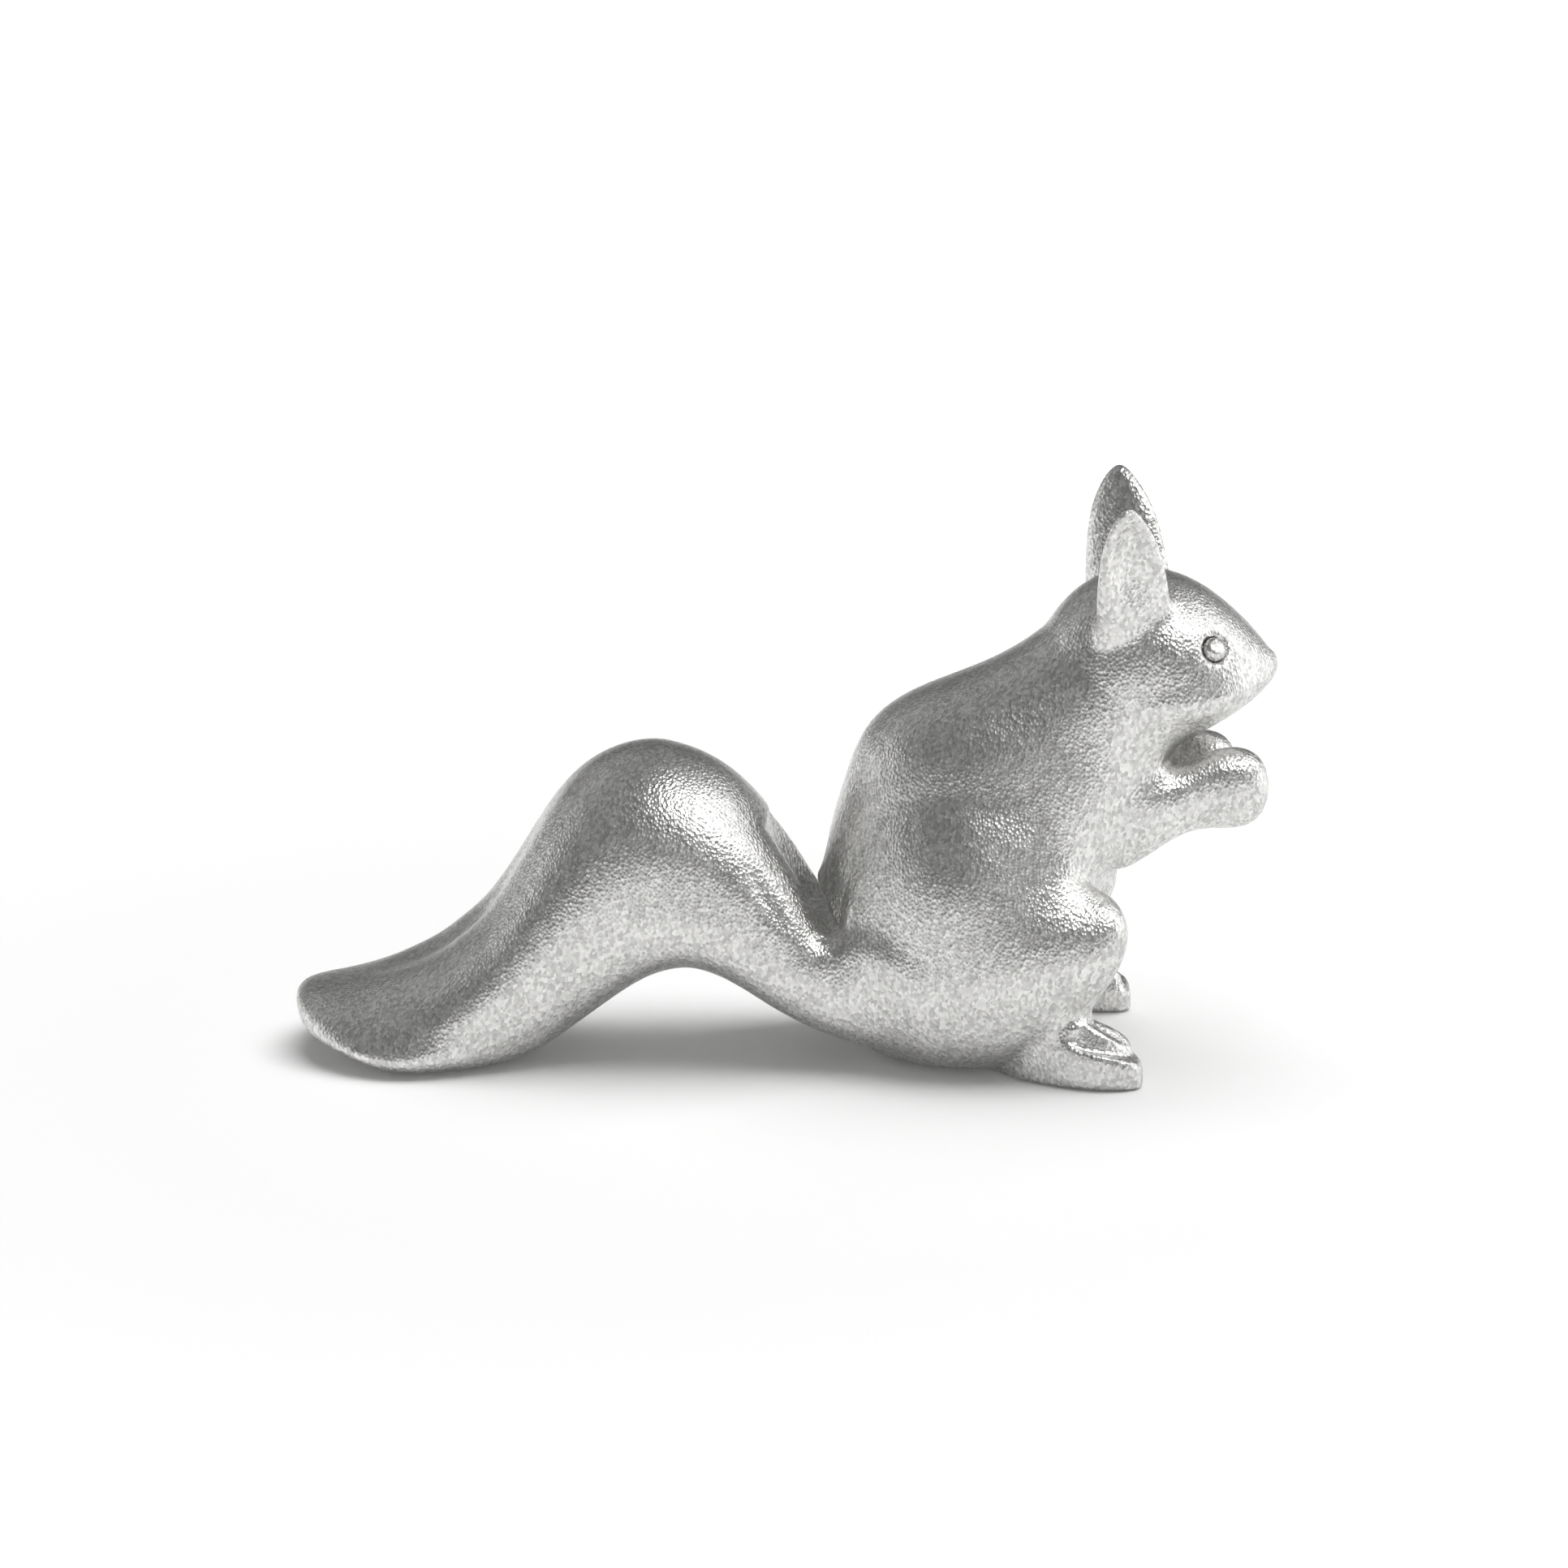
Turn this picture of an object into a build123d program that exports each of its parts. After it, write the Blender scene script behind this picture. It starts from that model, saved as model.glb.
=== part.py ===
from build123d import *
import math
import os

# Squirrel figurine in satin cast metal. Millimetres, +X towards the nose, +Z up, right side at -Y.
# The origin lies on the ground, under the middle of the length.

# Trunk: one form from the rump through the chest and neck to the nose
NOSE_REACH = 50.0
CROWN_HEIGHT = 50.0
TRUNK_WIDTH = 26.0
TRUNK_FULLNESS = 2.15
TRUNK_FRONT_FULLNESS = 2.4
NOSE_HEIGHT_SHARE = 0.812
# Each row: back reach, back height, front reach, front height, width, flare towards the back
TRUNK_STATION_SHARES = [
    (0.210, 0.000, 0.540, 0.000, 0.50, 0.00),
    (0.144, 0.032, 0.590, 0.024, 0.81, 0.00),
    (0.096, 0.100, 0.620, 0.090, 0.95, -0.02),
    (0.078, 0.200, 0.624, 0.190, 1.00, -0.05),
    (0.076, 0.320, 0.634, 0.290, 0.985, -0.08),
    (0.092, 0.450, 0.660, 0.380, 0.94, -0.12),
    (0.125, 0.572, 0.700, 0.460, 0.885, -0.14),
    (0.173, 0.680, 0.738, 0.530, 0.82, -0.12),
    (0.262, 0.748, 0.768, 0.590, 0.75, -0.08),
    (0.400, 0.805, 0.789, 0.636, 0.69, -0.05),
    (0.528, 0.886, 0.816, 0.660, 0.66, -0.08),
    (0.612, 0.978, 0.850, 0.680, 0.66, -0.14),
    (0.716, 1.008, 0.886, 0.702, 0.63, -0.18),
    (0.808, 0.990, 0.918, 0.722, 0.55, -0.18),
    (0.883, 0.944, 0.946, 0.742, 0.43, -0.15),
    (0.941, 0.890, 0.970, 0.762, 0.29, -0.10),
    (0.978, 0.846, 0.990, 0.784, 0.15, -0.04),
]

# The neck seam lies in the plane of this station, and each side of it follows one station past it
NECK_STATION = 10
NECK_BLEND_STATIONS = 1

# Haunches, from the rump forwards to the knee, in step with the length, height and width of the trunk
HAUNCH_REACH_SHARE = 0.692
HAUNCH_HEIGHT_SHARE = 0.4
HAUNCH_SIDE_SHARE = 0.6
HAUNCH_FULLNESS = 2.1
# Each row: reach, centre height, centre side, half height, half width
HAUNCH_STATION_SHARES = [
    (0.20, 0.46, 0.40, 0.16, 0.14),
    (0.30, 0.47, 0.46, 0.36, 0.33),
    (0.42, 0.49, 0.50, 0.455, 0.41),
    (0.54, 0.51, 0.52, 0.490, 0.450),
    (0.66, 0.54, 0.54, 0.480, 0.460),
    (0.77, 0.60, 0.58, 0.425, 0.420),
    (0.86, 0.665, 0.65, 0.345, 0.335),
    (0.93, 0.72, 0.71, 0.255, 0.245),
    (0.975, 0.755, 0.74, 0.155, 0.150),
    (0.995, 0.765, 0.75, 0.065, 0.065),
]

# Feet, toes turned out, flat underneath
TOE_REACH_SHARE = 0.724
FOOT_SIDE_SHARE = 0.496
FOOT_HEIGHT = 7.4
FOOT_WIDTH = 6.2
FOOT_FULLNESS = 2.3
FOOT_SOLE_FULLNESS = 3.6
FOOT_CLEFT_DEPTH = 1.5
FOOT_CLEFT_WIDTH = 0.9
FOOT_SUNK = 0.6
ANKLE_SEAM_REACH_SHARE = 0.552
ANKLE_SEAM_LEAN = 17.0
ANKLE_SEAM_HEIGHT_SHARE = 0.973
ANKLE_SEAM_SIDE_SHARE = 0.339
# Each row: reach, side, height, width, cleft depth
FOOT_STATION_SHARES = [
    (0.50, 0.40, 0.40, 0.45, 0.0),
    (0.60, 0.59, 0.70, 0.71, 0.0),
    (0.70, 0.83, 0.92, 0.88, 0.2),
    (0.79, 0.945, 1.00, 0.97, 0.7),
    (0.87, 1.000, 0.90, 1.00, 1.0),
    (0.935, 1.000, 0.74, 0.97, 0.9),
    (0.978, 0.995, 0.53, 0.80, 0.6),
    (1.000, 0.990, 0.28, 0.46, 0.2),
]

# Tail: lies on the ground at its end, arches up and drops to the rump, two lobes on top
TAIL_REACH = 50.0
TAIL_TIP_HEIGHT = 5.2
HUMP_HEIGHT = 32.0
TAIL_WIDTH = 23.4
TAIL_FULLNESS = 2.1
TAIL_UNDERSIDE_FULLNESS = 3.2
TAIL_CLEFT_DEPTH = 3.2
TAIL_CLEFT_WIDTH = 3.4
TAIL_SEAM_REACH_SHARE = 0.068
# Each row: top reach, top height, bottom reach, bottom height, width, flare, cleft depth, cleft width
TAIL_STATION_SHARES = [
    (0.994, 0.192, 0.990, 0.112, 0.28, 0.00, 0.00, 0.8),
    (0.974, 0.212, 0.958, 0.074, 0.54, -0.20, 0.00, 0.8),
    (0.924, 0.230, 0.886, 0.034, 0.78, -0.30, 0.03, 0.8),
    (0.850, 0.256, 0.806, -0.002, 0.93, -0.30, 0.10, 0.8),
    (0.770, 0.300, 0.706, -0.014, 1.00, -0.18, 0.20, 0.8),
    (0.702, 0.356, 0.602, -0.012, 1.00, 0.00, 0.28, 0.8),
    (0.642, 0.432, 0.516, 0.020, 0.98, 0.10, 0.30, 0.8),
    (0.590, 0.526, 0.450, 0.078, 0.95, 0.12, 0.26, 0.8),
    (0.544, 0.640, 0.388, 0.150, 0.92, 0.08, 0.20, 0.8),
    (0.496, 0.765, 0.330, 0.218, 0.90, 0.00, 0.12, 0.8),
    (0.436, 0.888, 0.280, 0.268, 0.885, -0.08, 0.04, 0.8),
    (0.360, 0.974, 0.238, 0.294, 0.885, -0.12, 0.00, 0.8),
    (0.270, 1.010, 0.200, 0.304, 0.885, -0.14, 0.00, 0.8),
    (0.182, 0.978, 0.160, 0.294, 0.89, -0.14, 0.10, 0.7),
    (0.106, 0.900, 0.120, 0.268, 0.895, -0.12, 0.30, 0.75),
    (0.042, 0.800, 0.076, 0.228, 0.90, -0.10, 0.60, 0.85),
    (-0.014, 0.690, 0.028, 0.180, 0.91, -0.08, 0.90, 1.0),
    (-0.064, 0.560, -0.038, 0.125, 0.93, -0.05, 1.00, 1.25),
    (-0.110, 0.440, -0.110, 0.082, 0.95, -0.05, 0.80, 1.4),
    (-0.200, 0.360, -0.220, 0.050, 0.90, -0.05, 0.30, 1.4),
]

# Ears: cupped leaves that lean outwards and turn a little forwards, rooted inside the head
EAR_ROOT_REACH_SHARE = 0.704
EAR_ROOT_HEIGHT_SHARE = 0.88
EAR_ROOT_SIDE_SHARE = 0.2077
EAR_RISE = 15.3
EAR_SPLAY = 4.1
EAR_SWEEP = 1.0
EAR_RIGHT_LENGTH = 7.6
EAR_LEFT_LENGTH = 8.6
EAR_THICKNESS = 3.2
EAR_RIM = 0.85
EAR_WALL = 0.95
EAR_YAW = 20.0
EAR_SEAM_WAY_SHARE = 0.31
EAR_SEAM_LEAN = 42.0
# Each row: way from root to tip, length, thickness, depth of the hollow
EAR_STATION_SHARES = [
    (0.00, 1.12, 1.00, 0.06),
    (0.22, 1.08, 1.00, 0.12),
    (0.42, 1.02, 0.94, 0.55),
    (0.60, 0.92, 0.84, 0.95),
    (0.76, 0.74, 0.70, 1.00),
    (0.88, 0.50, 0.54, 1.00),
    (0.96, 0.24, 0.36, 0.00),
]

# Arms: thick roots in the chest, short forearms and round hands that reach out ahead of it
CHEST_REACH_SHARE = 0.768
ARM_ROOT_REACH_SHARE = 0.56
ARM_ROOT_SIDE_SHARE = 0.2538
HAND_HEIGHT_SHARE = 0.568
HAND_RIGHT_LENGTH = 10.7
HAND_LEFT_LENGTH = 7.9
HAND_TALL = 8.3
HAND_WIDE = 5.6
ARM_FULLNESS = 2.2
ARM_SEAM_STEP = 2.8
# Each row: way from root to hand, side, height, hand heights, hand widths
ARM_STATION_SHARES = [
    (0.000, 0.790, 0.958, 1.30, 1.16),
    (0.209, 0.820, 0.930, 1.47, 1.18),
    (0.402, 0.755, 0.933, 1.18, 1.07),
    (0.569, 0.625, 0.961, 0.88, 0.98),
    (0.711, 0.535, 0.993, 0.95, 0.97),
    (0.837, 0.490, 1.000, 1.00, 1.00),
    (0.924, 0.470, 1.000, 0.86, 0.86),
    (0.977, 0.460, 1.000, 0.54, 0.54),
]

# Eyes: studs pressed into drilled seats
EYE_REACH_SHARE = 0.861
EYE_SIDE_SHARE = 0.2404
EYE_HEIGHT_SHARE = 0.872
EYE_DIAMETER = 2.4
EYE_PROUD = 0.8
EYE_DEPTH = 1.8
EYE_DOME = 0.35
EYE_CLEARANCE = 0.02
EYE_FORWARD_TURN = 37.5
EYE_UPWARD_TURN = 38.0

# Hidden dowels, a close fit in blind holes on both sides of a seam
DOWEL_CLEARANCE = 0.05
DOWEL_CHAMFER = 0.25
NECK_DOWEL_DIAMETER = 4.0
NECK_DOWEL_LENGTH = 10.0
TAIL_DOWEL_DIAMETER = 3.0
TAIL_DOWEL_LENGTH = 9.0
TAIL_DOWEL_SPACING = 8.0
TAIL_DOWEL_HEIGHT_SHARE = 0.3
EAR_DOWEL_DIAMETER = 0.8
EAR_DOWEL_LENGTH = 2.6
ARM_DOWEL_DIAMETER = 2.0
ARM_DOWEL_LENGTH = 6.0
ARM_DOWEL_SIDE_SHARE = 0.58
ARM_DOWEL_HEIGHT_SHARE = 0.975
FOOT_DOWEL_DIAMETER = 1.6
FOOT_DOWEL_LENGTH = 5.0
FOOT_DOWEL_HEIGHT_SHARE = 0.432
FOOT_DOWEL_SIDE_SHARE = 0.438

RIGHT = -1
LEFT = 1
RING_POINTS = 32
OVAL = 2
CUT_OVERRUN = 60.0
UP = Vector(0, 0, 1)
SIDEWAYS = Vector(0, 1, 0)


def signed_power(value, power):
    """A power that keeps the sign, so that one formula draws all four quarters of a ring."""
    return math.copysign(abs(value) ** power, value)


def ring(centre, across, upward, half_width, half_height, fullness, flare=0.0, cleft=0.0, cleft_width=1.0,
         underside=None):
    """One closed cross-section: a full oval that may flare upwards and hold a cleft along its top.

    It starts in the middle of its underside, where the surface then has its seam.
    """
    points = []
    for step in range(RING_POINTS):
        turn = 2 * math.pi * step / RING_POINTS - math.pi / 2
        power = 2 / (fullness if math.sin(turn) > 0 or underside is None else underside)
        rise = signed_power(math.sin(turn), power)
        reach = half_width * signed_power(math.cos(turn), power) * (1 + flare * rise)
        lift = half_height * rise
        if rise > 0:
            lift -= cleft * math.exp(-((reach / cleft_width) ** 2))
        points.append(centre + across * reach + upward * lift)
    knots = [step / RING_POINTS for step in range(RING_POINTS + 1)]
    return Wire([Edge.make_spline(points, periodic=True, parameters=knots)])


def loft(rings, tip=None):
    """A smooth solid through the rings, closed by a flat end or by a rounded tip."""
    ends = [] if tip is None else [Vertex(*tip)]
    return Solid.make_loft(rings + ends)


def between(start, end, share):
    """The point at a share of the way from start to end."""
    return start + (end - start) * share


def only(shape):
    """The main solid that a cut or a fuse leaves."""
    return max(shape.solids(), key=lambda solid: solid.volume)


def part_within(shape, region):
    """The part of a solid that lies in a region."""
    return only(shape.intersect(region))


def half_space(point, normal):
    """A large block on the side of the plane that its normal points to."""
    block = Solid.make_box(CUT_OVERRUN * 2, CUT_OVERRUN * 2, CUT_OVERRUN * 2)
    block = block.moved(Location((-CUT_OVERRUN, -CUT_OVERRUN, 0)))
    return block.moved(Plane(origin=point, z_dir=normal).location)


def peg(centre, direction, diameter, length):
    """A cylinder about its own middle."""
    start = centre - direction.normalized() * (length / 2)
    return Solid.make_cylinder(diameter / 2, length, Plane(origin=start, z_dir=direction))


def dowel(centre, direction, diameter, length):
    """A dowel with a chamfer at both ends."""
    pin = peg(centre, direction, diameter, length)
    rims = [edge for edge in pin.edges() if edge.geom_type == GeomType.CIRCLE]
    return pin.chamfer(DOWEL_CHAMFER, None, rims)


def dowel_hole(centre, direction, diameter, length):
    """The blind hole that takes a dowel, in both pieces at once."""
    return peg(centre, direction, diameter + 2 * DOWEL_CLEARANCE, length + 2 * DOWEL_CLEARANCE)


def trunk_rings():
    """The cross-sections of rump, ribs, chest, neck and head."""
    rings = []
    for back_x, back_z, front_x, front_z, width, flare in TRUNK_STATION_SHARES:
        back = Vector(back_x * NOSE_REACH, 0, back_z * CROWN_HEIGHT)
        front = Vector(front_x * NOSE_REACH, 0, front_z * CROWN_HEIGHT)
        upward = (back - front).normalized()
        half_height = (back - front).length / 2
        half_width = width * TRUNK_WIDTH / 2
        rings.append(ring(between(back, front, 1 / 2), SIDEWAYS, upward, half_width, half_height,
                          TRUNK_FULLNESS, flare, underside=TRUNK_FRONT_FULLNESS))
    return rings


def neck_plane():
    """A point on the neck seam and the direction of the head."""
    back_x, back_z, front_x, front_z = TRUNK_STATION_SHARES[NECK_STATION][:4]
    back = Vector(back_x * NOSE_REACH, 0, back_z * CROWN_HEIGHT)
    front = Vector(front_x * NOSE_REACH, 0, front_z * CROWN_HEIGHT)
    return between(back, front, 1 / 2), SIDEWAYS.cross(back - front).normalized()


def body_form():
    """The trunk below the neck seam."""
    point, ahead = neck_plane()
    whole = loft(trunk_rings()[:NECK_STATION + NECK_BLEND_STATIONS + 1])
    return part_within(whole, half_space(point, ahead * -1))


def head_form():
    """The trunk beyond the neck seam, closed by the nose."""
    point, ahead = neck_plane()
    nose = (NOSE_REACH, 0, NOSE_HEIGHT_SHARE * CROWN_HEIGHT)
    whole = loft(trunk_rings()[NECK_STATION - NECK_BLEND_STATIONS:], nose)
    return part_within(whole, half_space(point, ahead))


def tail_form():
    """The arched tail with its cleft, from the tip to a root inside the rump."""
    rings = []
    for top_x, top_z, bottom_x, bottom_z, width, flare, cleft, cleft_width in TAIL_STATION_SHARES:
        top = Vector(-top_x * TAIL_REACH, 0, top_z * HUMP_HEIGHT)
        bottom = Vector(-bottom_x * TAIL_REACH, 0, bottom_z * HUMP_HEIGHT)
        upward = (top - bottom).normalized()
        half_height = (top - bottom).length / 2
        half_width = width * TAIL_WIDTH / 2
        rings.append(ring(between(top, bottom, 1 / 2), SIDEWAYS, upward, half_width, half_height,
                          TAIL_FULLNESS, flare, cleft * TAIL_CLEFT_DEPTH, cleft_width * TAIL_CLEFT_WIDTH,
                          TAIL_UNDERSIDE_FULLNESS))
    rings.reverse()
    return loft(rings, (-TAIL_REACH, 0, TAIL_TIP_HEIGHT))


def haunch_form(side):
    """One haunch, swelling from the rump and narrowing to the knee."""
    knee_reach = HAUNCH_REACH_SHARE * NOSE_REACH
    top = HAUNCH_HEIGHT_SHARE * CROWN_HEIGHT
    outside = HAUNCH_SIDE_SHARE * TRUNK_WIDTH
    rings = []
    for reach, height, sideways, half_height, half_width in HAUNCH_STATION_SHARES:
        centre = Vector(reach * knee_reach, side * sideways * outside, height * top)
        rings.append(ring(centre, SIDEWAYS, UP, half_width * outside, half_height * top, HAUNCH_FULLNESS))
    last = HAUNCH_STATION_SHARES[-1]
    return loft(rings, (knee_reach, side * last[2] * outside, last[1] * top))


def foot_form(side):
    """One hind foot with the cleft between its two lobes, a little below ground before it is cut flat."""
    toe_reach = TOE_REACH_SHARE * NOSE_REACH
    toe_side = side * FOOT_SIDE_SHARE * TRUNK_WIDTH
    rings = []
    for reach, sideways, height, width, cleft in FOOT_STATION_SHARES:
        half_height = (height * FOOT_HEIGHT + FOOT_SUNK) / 2
        centre = Vector(reach * toe_reach, sideways * toe_side, half_height - FOOT_SUNK)
        rings.append(ring(centre, SIDEWAYS, UP, width * FOOT_WIDTH / 2, half_height, FOOT_FULLNESS,
                          0, cleft * FOOT_CLEFT_DEPTH, FOOT_CLEFT_WIDTH, FOOT_SOLE_FULLNESS))
    return loft(rings)


def ear_frame(side):
    """Root, tip and the directions along and through the leaf of one ear."""
    root = Vector(EAR_ROOT_REACH_SHARE * NOSE_REACH, side * EAR_ROOT_SIDE_SHARE * TRUNK_WIDTH,
                  EAR_ROOT_HEIGHT_SHARE * CROWN_HEIGHT)
    tip = root + Vector(-EAR_SWEEP, side * EAR_SPLAY, EAR_RISE)
    yaw = math.radians(EAR_YAW)
    along = Vector(math.cos(yaw), -side * math.sin(yaw), 0)
    outward = along.cross(tip - root).normalized() * side * -1
    return root, tip, along, outward


def ear_form(side, length):
    """One ear: a leaf, hollowed from its outer face so that a thin rim and a thin wall are left."""
    root, tip, along, outward = ear_frame(side)
    leaf_rings = []
    scoop_rings = []
    for way, length_share, thickness_share, hollow_share in EAR_STATION_SHARES:
        centre = between(root, tip, way)
        half_length = length_share * length / 2
        thickness = thickness_share * EAR_THICKNESS
        leaf_rings.append(ring(centre, along, outward, half_length, thickness / 2, OVAL))
        hollow = hollow_share * (thickness - EAR_WALL)
        if hollow > 0:
            scoop_rings.append(ring(centre + outward * (thickness / 2), along, outward,
                                    half_length - EAR_RIM, hollow, OVAL))
    leaf = loft(leaf_rings, tuple(tip))
    return leaf.cut(loft(scoop_rings))


def arm_form(side, length):
    """One arm, from a thick root in the chest to the end of the round hand."""
    root_reach = ARM_ROOT_REACH_SHARE * NOSE_REACH
    hand_reach = CHEST_REACH_SHARE * NOSE_REACH + length
    hand_height = HAND_HEIGHT_SHARE * CROWN_HEIGHT
    root_side = side * ARM_ROOT_SIDE_SHARE * TRUNK_WIDTH
    rings = []
    for way, sideways, height, tall, wide in ARM_STATION_SHARES:
        reach = root_reach + (hand_reach - root_reach) * way
        centre = Vector(reach, sideways * root_side, height * hand_height)
        rings.append(ring(centre, SIDEWAYS, UP, wide * HAND_WIDE / 2, tall * HAND_TALL / 2, ARM_FULLNESS))
    last = ARM_STATION_SHARES[-1]
    return loft(rings, (hand_reach, last[1] * root_side, last[2] * hand_height))


def arm_seam_reach():
    """How far forward both arm seams lie."""
    return CHEST_REACH_SHARE * NOSE_REACH + ARM_SEAM_STEP


def eye_axis(side):
    """Centre of the eye on the cheek and the direction that it looks in."""
    centre = Vector(EYE_REACH_SHARE * NOSE_REACH, side * EYE_SIDE_SHARE * TRUNK_WIDTH,
                    EYE_HEIGHT_SHARE * CROWN_HEIGHT)
    forward = math.radians(EYE_FORWARD_TURN)
    upward = math.radians(EYE_UPWARD_TURN)
    level = math.cos(upward)
    return centre, Vector(level * math.sin(forward), side * level * math.cos(forward), math.sin(upward))


def eye_stud(side):
    """A round stud with a domed face."""
    centre, outward = eye_axis(side)
    start = centre - outward * EYE_DEPTH
    stud = Solid.make_cylinder(EYE_DIAMETER / 2, EYE_DEPTH + EYE_PROUD, Plane(origin=start, z_dir=outward))
    rims = stud.edges().sort_by(Axis(tuple(start), tuple(outward)))[-1:]
    return stud.fillet(EYE_DOME, rims)


def eye_seat(side):
    """The drilled seat of one eye stud, open outwards."""
    centre, outward = eye_axis(side)
    start = centre - outward * EYE_DEPTH
    return Solid.make_cylinder(EYE_DIAMETER / 2 + EYE_CLEARANCE, EYE_DEPTH + EYE_PROUD * 2,
                               Plane(origin=start, z_dir=outward))


def ear_plane(side):
    """The point where one ear's axis meets its seam, and the direction of the ear."""
    root, tip, along, outward = ear_frame(side)
    lean = math.radians(EAR_SEAM_LEAN)
    return between(root, tip, EAR_SEAM_WAY_SHARE), Vector(0, side * math.sin(lean), math.cos(lean))


def foot_region(side):
    """The space ahead of the sloping ankle seam, below the level one and beside the belly."""
    lean = math.radians(ANKLE_SEAM_LEAN)
    point = Vector(ANKLE_SEAM_REACH_SHARE * NOSE_REACH, 0, 0)
    ahead = half_space(point, Vector(math.cos(lean), 0, -math.sin(lean)))
    below = half_space(Vector(0, 0, ANKLE_SEAM_HEIGHT_SHARE * FOOT_HEIGHT), UP * -1)
    beside = half_space(Vector(0, side * ANKLE_SEAM_SIDE_SHARE * TRUNK_WIDTH, 0), SIDEWAYS * side)
    return part_within(part_within(ahead, below), beside)


def foot_dowel_axis(side):
    """Middle and direction of the dowel across one ankle seam."""
    lean = math.radians(ANKLE_SEAM_LEAN)
    height = FOOT_DOWEL_HEIGHT_SHARE * FOOT_HEIGHT
    middle = Vector(ANKLE_SEAM_REACH_SHARE * NOSE_REACH + height * math.tan(lean),
                    side * FOOT_DOWEL_SIDE_SHARE * TRUNK_WIDTH, height)
    return middle, Vector(math.cos(lean), 0, -math.sin(lean))


def ear_dowel_axis(side):
    """Middle and direction of the dowel that the ear leans along, on its seam."""
    root, tip, along, outward = ear_frame(side)
    return ear_plane(side)[0], (tip - root).normalized()


def arm_dowel_axis(side):
    """Middle and direction of the dowel in one forearm."""
    middle = Vector(arm_seam_reach(), side * ARM_DOWEL_SIDE_SHARE * ARM_ROOT_SIDE_SHARE * TRUNK_WIDTH,
                    ARM_DOWEL_HEIGHT_SHARE * HAND_HEIGHT_SHARE * CROWN_HEIGHT)
    return middle, Vector(1, 0, 0)


def tail_dowel_middles():
    """The middles of the two dowels that carry the tail."""
    half = TAIL_DOWEL_SPACING / 2
    reach = TAIL_SEAM_REACH_SHARE * NOSE_REACH
    height = TAIL_DOWEL_HEIGHT_SHARE * HUMP_HEIGHT
    return [Vector(reach, side * half, height) for side in (RIGHT, LEFT)]


def drilled(piece, holes):
    """A piece with all its blind holes."""
    for hole in holes:
        piece = piece.cut(hole)
    return only(piece)


def build_torso_and_feet():
    """Body, haunches, tail root, arm roots and feet as one mass, parted at the ankles."""
    ground = half_space(Vector(0, 0, 0), UP)
    root = half_space(Vector(TAIL_SEAM_REACH_SHARE * NOSE_REACH, 0, 0), Vector(1, 0, 0))
    chest = half_space(Vector(arm_seam_reach(), 0, 0), Vector(-1, 0, 0))
    sides = ((RIGHT, HAND_RIGHT_LENGTH), (LEFT, HAND_LEFT_LENGTH))
    limbs = [part_within(arm_form(side, length), chest) for side, length in sides]
    limbs += [haunch_form(side) for side, _ in sides]
    limbs += [foot_form(side) for side, _ in sides]
    limbs.append(part_within(tail_form(), root))
    mass = body_form()
    for limb in limbs:
        mass = only(mass.fuse(limb))
    mass = part_within(mass, ground)
    feet = {}
    for side in (RIGHT, LEFT):
        region = foot_region(side)
        feet[side] = part_within(mass, region)
        mass = only(mass.cut(region))
    return mass, feet


def build_tail():
    """The tail casting behind its seam, flat where it rests."""
    ground = half_space(Vector(0, 0, 0), UP)
    behind = half_space(Vector(TAIL_SEAM_REACH_SHARE * NOSE_REACH, 0, 0), Vector(-1, 0, 0))
    return part_within(part_within(tail_form(), behind), ground)


def build_head_and_ears():
    """Head and ears as one mass, parted at the ear seams, with the eye seats drilled."""
    mass = head_form()
    for side, length in ((RIGHT, EAR_RIGHT_LENGTH), (LEFT, EAR_LEFT_LENGTH)):
        mass = only(mass.fuse(ear_form(side, length)))
    ears = {}
    for side in (RIGHT, LEFT):
        point, upward = ear_plane(side)
        region = half_space(point, upward)
        ears[side] = part_within(mass, region)
        mass = only(mass.cut(region))
    mass = drilled(mass, [eye_seat(side) for side in (RIGHT, LEFT)])
    return mass, ears


def build_arm(side, length):
    """Forearm and hand in front of the arm seam."""
    front = half_space(Vector(arm_seam_reach(), 0, 0), Vector(1, 0, 0))
    return part_within(arm_form(side, length), front)


def paired_pins(axis_of, diameter, length):
    """Middle, direction and size of the dowel on each side."""
    return {side: (*axis_of(side), diameter, length) for side in (RIGHT, LEFT)}


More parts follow.
